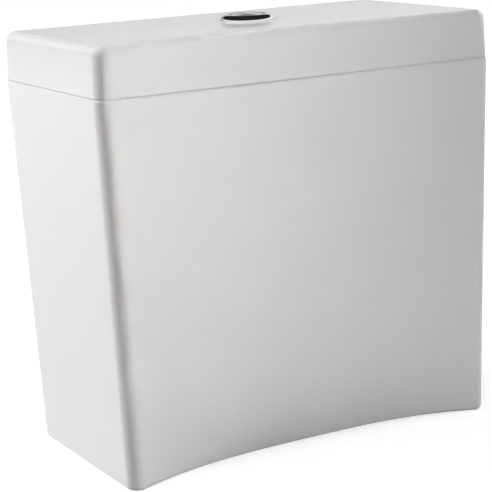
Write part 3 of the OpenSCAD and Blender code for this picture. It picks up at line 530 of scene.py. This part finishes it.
def tank_lid():
    """Lid with soft upper edges, locating lip and the button's hole."""
    lip_out = WALL + LIP_GAP
    lip_in = lip_out + LIP_T
    under = [
        lid_ring(LID_UNDER, LID_WALL),
        lid_ring(TANK_H + LIP_H, LID_WALL),
        lid_ring(TANK_H, lip_in),
        lid_ring(TANK_H - LIP_H, lip_in),
        lid_ring(TANK_H - LIP_H, lip_out),
        lid_ring(TANK_H, lip_out),
    ]
    seam = [lid_edge(TANK_H + up, inset) for inset, up in rounding(SEAM_R, SMALL_ROUND)]
    top = [lid_edge(LID_TOP - drop, inset) for drop, inset in rounding(LID_EDGE_R, LID_ROUND)]
    last_under = len(under) - 1
    obj = skin("tank_lid_glazed", under + seam + top, lambda k: INSIDE if k < last_under else GLAZED)
    cut_holes(obj, LID_UNDER, LID_TOP, [(0, 0, LID_HOLE_R)])
    weighted_normals(obj, SHARP_SHELL)
    stand_for(obj, "tank_lid", "lid", "ceramic", glaze, inner_glaze)


tank_body()
tank_lid()


# Push button

def button_bezel():
    """Domed chrome ring with its threaded barrel."""
    land = BEZEL_LIP_R + BEZEL_LAND
    top = LID_TOP + BEZEL_H
    dome = [
        (land + (BEZEL_R - land) * math.cos(a), LID_TOP + BEZEL_SIDE + (BEZEL_H - BEZEL_SIDE) * math.sin(a))
        for a in arc(90, 0, BEZEL_ROUND)
    ]
    soft = [
        (BEZEL_LIP_R + BEZEL_SOFT - BEZEL_SOFT * math.sin(a), top - BEZEL_SOFT + BEZEL_SOFT * math.cos(a))
        for a in arc(90, 0, LIP_ROUND)
    ]
    line, groove = screw(BARREL_R, BARREL_LOW, LID_UNDER, BARREL_THREAD)
    profile = (
        [(ROD_X / 2, BARREL_Z), (BORE_R, BARREL_Z), (BORE_R, BEZEL_LIP_Z), (BEZEL_LIP_R, BEZEL_LIP_Z)]
        + soft + dome + [(BEZEL_R, LID_TOP), (BARREL_R, LID_TOP)] + line[::-1]
        + [(BARREL_R - BARREL_SOFT, BARREL_LOW), (ROD_X / 2, BARREL_LOW)]
    )
    obj = lathe("button_bezel_chrome", profile, groove=groove)
    cut_holes(obj, BARREL_LOW, BARREL_Z, [(s * ROD_X, s * ROD_Y, ROD_R + SLIDE_GAP) for s in (-1, 1)])
    weighted_normals(obj, SHARP_FITTING)
    stand_for(obj, "button_bezel", "lid", "chrome", chrome)


def key_top(x, y):
    """Height of the keys' common dome."""
    ball = (KEY_R ** 2 + KEY_DOME ** 2) / (2 * KEY_DOME)
    return LID_TOP + BEZEL_H + KEY_DOME / 2 - ball + math.sqrt(ball ** 2 - x * x - y * y)


def key_edges(r, cut, left):
    """Points of a key's straight side and of its rim, both from their front to their back ends."""
    half = math.sqrt(r * r - cut * cut)
    side = [(cut, half * (2 * k / KEY_STEPS - 1)) for k in range(KEY_STEPS + 1)]
    turn = math.degrees(math.atan2(half, cut))
    angles = arc(360 - turn, turn, KEY_STEPS) if left else arc(-turn, turn, KEY_STEPS)
    return side, [(r * math.cos(a), r * math.sin(a)) for a in angles]


def key(name, node, body, left):
    """One key: strips between its straight side and its rim, with soft upper edges."""
    way = -1 if left else 1

    def edges(r, inset=0):
        return key_edges(r - inset, way * (SPLIT_GAP / 2 + inset) - SPLIT_X, left)

    def path(r, inset=0):
        side, rim = edges(r, inset)
        return side + rim[::-1][1:-1]

    levels = [(SHOULDER_R, KEY_UNDER), (SHOULDER_R, BEZEL_LIP_Z), (KEY_R, BEZEL_LIP_Z)]
    loops = [[(x, y, z) for x, y in path(r)] for r, z in levels]
    for drop, inset in rounding(KEY_SOFT, KEY_ROUND):
        loops.append([(x, y, key_top(x, y) - drop) for x, y in path(KEY_R, inset)])
    n = len(loops[0])
    points = [p for loop in loops for p in loop]
    faces = [quad for k in range(len(loops) - 1) for quad in band(k * n, (k + 1) * n, n)]
    top = len(points)
    for j in range(KEY_STRIPS + 1):
        t = j / KEY_STRIPS
        for (x0, y0), (x1, y1) in zip(*edges(KEY_R, KEY_SOFT)):
            x, y = x0 + (x1 - x0) * t, y0 + (y1 - y0) * t
            points.append((x, y, key_top(x, y)))
    for j in range(KEY_STRIPS):
        a = top + j * (KEY_STEPS + 1)
        b = a + KEY_STEPS + 1
        faces += [(a + i, a + i + 1, b + i + 1, b + i) for i in range(KEY_STEPS)]
    faces.append(tuple(range(n)))
    obj = solid(name, points, faces)
    weighted_normals(obj, SHARP_FITTING)
    stand_for(obj, node, body, "chrome", chrome)


def spring(name, node, x, y):
    """Round-wire spring from the barrel's floor up to its key's underside."""
    steps = SPRING_TURNS * WIRE_STEPS
    length = KEY_UNDER - BARREL_Z
    low = BARREL_Z + WIRE_R + SPRING_GAP
    rise = length - 2 * WIRE_R - 2 * SPRING_GAP
    points, faces = [], []
    for k in range(steps + 1):
        t = 2 * math.pi * k / WIRE_STEPS
        for j in range(WIRE_SIDES):
            b = 2 * math.pi * j / WIRE_SIDES
            r = SPRING_R + WIRE_R * math.cos(b)
            z = low + rise * k / steps + WIRE_R * math.sin(b)
            points.append((x + r * math.cos(t), y + r * math.sin(t), z))
    for k in range(steps):
        for j in range(WIRE_SIDES):
            a, b = k * WIRE_SIDES + j, k * WIRE_SIDES + (j + 1) % WIRE_SIDES
            faces.append((a, a + WIRE_SIDES, b + WIRE_SIDES, b))
    faces.append(tuple(range(WIRE_SIDES)))
    faces.append(tuple(steps * WIRE_SIDES + j for j in reversed(range(WIRE_SIDES))))
    obj = solid(name, points, faces)
    smooth(obj.data)
    stand_for(obj, node, "lid", "spring_steel", spring_steel)
    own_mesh(obj)


button_bezel()
key("full_flush_key_chrome", "full_flush_key", "full_key", left=False)
key("half_flush_key_chrome", "half_flush_key", "half_key", left=True)
spring("full_key_spring_wire", "full_key_spring", ROD_X, ROD_Y)
spring("half_key_spring_wire", "half_key_spring", -ROD_X, -ROD_Y)


# Threaded fittings under the floor

def coupling_bolts():
    """Two brass bolts with round heads, threaded below the floor."""
    plain = BOLT_THREAD[2]
    line, groove = screw(BOLT_R, BOLT_LOW, BOLT_NUT_Z, BOLT_THREAD)
    head_top = BOLT_TOP + BOLT_HEAD_H
    head = [
        (BOLT_HEAD_R - BOLT_HEAD_SLOPE * (1 - math.cos(a)), head_top - BOLT_HEAD_DROP * (1 - math.sin(a)))
        for a in arc(0, 90, BOLT_ROUND)
    ]
    profile = (
        [(0, BOLT_LOW), (BOLT_R - plain, BOLT_LOW)] + line
        + [(NECK_R, BOLT_NUT_Z - plain / 2), (NECK_R, BOLT_TOP), (BOLT_HEAD_R, BOLT_TOP)]
        + head + [(0, head_top)]
    )
    centres = [(-BOLT_X, 0), (BOLT_X, 0)]
    obj = lathe("coupling_bolts_threaded", profile, centres, BOLT_STEPS, closed=False, groove=groove)
    weighted_normals(obj, SHARP_FITTING)
    stand_for(obj, "coupling_bolts", "tank", "brass", brass)


def fill_shank():
    """Inlet shank with a pipe thread, a flange on the floor and the riser's socket."""
    plain = INLET_THREAD[2]
    line, groove = screw(INLET_R, INLET_LOW, INLET_NUT_Z, INLET_THREAD)
    profile = (
        [(WATER_R, INLET_LOW), (INLET_R - plain, INLET_LOW)] + line
        + [(SHANK_R, INLET_NUT_Z - plain / 2), (SHANK_R, SHANK_FLANGE_Z), (SHANK_FLANGE_R, SHANK_FLANGE_Z)]
        + [(SHANK_FLANGE_R, SOCKET_Z), (SOCKET_OUT, SOCKET_Z), (SOCKET_OUT, SOCKET_TOP)]
        + [(SOCKET_IN, SOCKET_TOP), (SOCKET_IN, RISER_Z), (WATER_R, RISER_Z)]
    )
    obj = lathe("fill_shank_threaded", profile, [(INLET_X, INLET_Y)], SHANK_STEPS, groove=groove)
    weighted_normals(obj, SHARP_FITTING)
    stand_for(obj, "fill_shank", "tank", "white_plastic", white_plastic)


coupling_bolts()
fill_shank()


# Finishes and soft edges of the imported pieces

def finish_node(name, obj, slot):
    """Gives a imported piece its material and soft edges."""
    obj.data.materials.clear()
    obj.data.materials.append(FINISHES[slot])
    weld = obj.modifiers.new("joined faces", "WELD")
    weld.merge_threshold = WELD_REACH
    soft = obj.modifiers.new("soft edges", "BEVEL")
    soft.width = SOFT_WIDTH * MM
    soft.segments = SOFT_SEGMENTS
    soft.limit_method = "ANGLE"
    soft.angle_limit = math.radians(SOFT_ANGLE)
    soft.use_clamp_overlap = name not in FULL_EDGES
    smooth(obj.data)
    obj.modifiers.new("flat faces", "WEIGHTED_NORMAL").weight = FACE_WEIGHT


for subpart in frame["record"]["subparts"]:
    node_name = subpart["node"]
    if node_name not in replaced:
        finish_node(node_name, frame["nodes"][node_name], subpart["material_slot"])


# Studio

def area_light(name, place, target, size, power, beam):
    """Soft box aimed at a point, left out of mirrors."""
    data = bpy.data.lights.new(name, "AREA")
    data.shape = "RECTANGLE"
    data.size, data.size_y = size
    data.energy = power
    data.spread = math.radians(beam)
    lamp = bpy.data.objects.new(name, data)
    bpy.context.scene.collection.objects.link(lamp)
    lamp.location = place
    lamp.rotation_euler = (Vector(target) - Vector(place)).to_track_quat("-Z", "Y").to_euler()
    lamp.visible_glossy = False


def either(tree, path, *kinds):
    """Largest of several kinds of ray from a Light Path node."""
    value = path.outputs[kinds[0]]
    for kind in kinds[1:]:
        node = tree.nodes.new("ShaderNodeMath")
        node.operation = "MAXIMUM"
        tree.links.new(value, node.inputs[0])
        tree.links.new(path.outputs[kind], node.inputs[1])
        value = node.outputs["Value"]
    return value


def mixed(tree, fac, first, second):
    """Shader that goes from the first to the second as fac goes from 0 to 1."""
    mix = tree.nodes.new("ShaderNodeMixShader")
    tree.links.new(fac, mix.inputs["Fac"])
    tree.links.new(first, mix.inputs[1])
    tree.links.new(second, mix.inputs[2])
    return mix.outputs["Shader"]


def pale_floor():
    """Near-white floor that keeps the object's shadow and throws little light back."""
    bm = bmesh.new()
    bmesh.ops.create_grid(bm, x_segments=1, y_segments=1, size=FLOOR_SIZE)
    mesh = bpy.data.meshes.new("floor")
    bm.to_mesh(mesh)
    bm.free()
    floor = new_object("floor", mesh)
    floor.location.z = FLOOR_HEIGHT
    mat, tree, seen = material("pale floor")
    tint = ramp(tree, noise(tree, FLOOR_GRAIN), *map(grey, FLOOR_GREYS))
    tree.links.new(tint, seen.inputs["Base Color"])
    seen.inputs["Roughness"].default_value = FLOOR_ROUGH
    seen.inputs["Emission Color"].default_value = (1, 1, 1, 1)
    seen.inputs["Emission Strength"].default_value = FLOOR_GLOW
    dull = tree.nodes.new("ShaderNodeBsdfDiffuse")
    dull.inputs["Color"].default_value = (*grey(FLOOR_BOUNCE), 1)
    path = tree.nodes.new("ShaderNodeLightPath")
    seen_rays = either(tree, path, "Is Camera Ray", "Is Glossy Ray", "Is Transmission Ray")
    shader = mixed(tree, seen_rays, dull.outputs["BSDF"], seen.outputs["BSDF"])
    tree.links.new(shader, tree.nodes["Material Output"].inputs["Surface"])
    floor.data.materials.append(mat)


def background(tree, strength):
    """White sky shader of a given strength."""
    node = tree.nodes.new("ShaderNodeBackground")
    node.inputs["Color"].default_value = (1, 1, 1, 1)
    node.inputs["Strength"].default_value = strength
    return node


def sky():
    """Weak even light, dark overhead in reflections and white to the camera."""
    world = bpy.data.worlds.new("studio")
    bpy.context.scene.world = world
    world.use_nodes = True
    tree = world.node_tree
    tree.nodes.clear()
    out = tree.nodes.new("ShaderNodeOutputWorld")
    path = tree.nodes.new("ShaderNodeLightPath")
    even = background(tree, AMBIENT)
    mirrored = background(tree, 1.0)
    white = background(tree, 1.0)
    coords = tree.nodes.new("ShaderNodeTexCoord")
    axes = tree.nodes.new("ShaderNodeSeparateXYZ")
    tree.links.new(coords.outputs["Generated"], axes.inputs["Vector"])
    high = ramp(tree, axes.outputs["Z"], grey(1.0), grey(SKY_TOP), *SKY_HEIGHTS)
    behind = ramp(tree, axes.outputs["Y"], grey(1.0), grey(SKY_BEHIND), *SKY_DEPTHS)
    tint = tree.nodes.new("ShaderNodeMix")
    tint.data_type, tint.blend_type = "RGBA", "MULTIPLY"
    tint.inputs["Factor"].default_value = 1.0
    tree.links.new(high, tint.inputs["A"])
    tree.links.new(behind, tint.inputs["B"])
    tree.links.new(tint.outputs["Result"], mirrored.inputs["Color"])
    unseen = mixed(tree, path.outputs["Is Glossy Ray"], even.outputs[0], mirrored.outputs[0])
    shader = mixed(tree, path.outputs["Is Camera Ray"], unseen, white.outputs[0])
    tree.links.new(shader, out.inputs["Surface"])


def camera():
    """Camera at the photograph's place."""
    data = bpy.data.cameras.new("camera")
    data.sensor_width = SENSOR
    data.lens = SENSOR * FOCAL_PX / IMAGE_PX
    data.clip_end = CLIP_END
    cam = bpy.data.objects.new("camera", data)
    bpy.context.scene.collection.objects.link(cam)
    along = math.cos(CAM_PITCH)
    ahead = Vector((math.sin(CAM_YAW) * along, math.cos(CAM_YAW) * along, -math.sin(CAM_PITCH)))
    level = Vector((math.cos(CAM_YAW), -math.sin(CAM_YAW), 0))
    upright = level.cross(ahead)
    right = math.cos(CAM_ROLL) * level + math.sin(CAM_ROLL) * upright
    up = math.cos(CAM_ROLL) * upright - math.sin(CAM_ROLL) * level
    turn = Matrix((right, up, -ahead)).transposed()
    cam.matrix_world = Matrix.Translation(CAM_PLACE) @ turn.to_4x4()
    bpy.context.scene.camera = cam


bpy.context.scene.view_settings.view_transform = "Standard"
sky()
pale_floor()
for light in LIGHTS:
    area_light(*light)
camera()
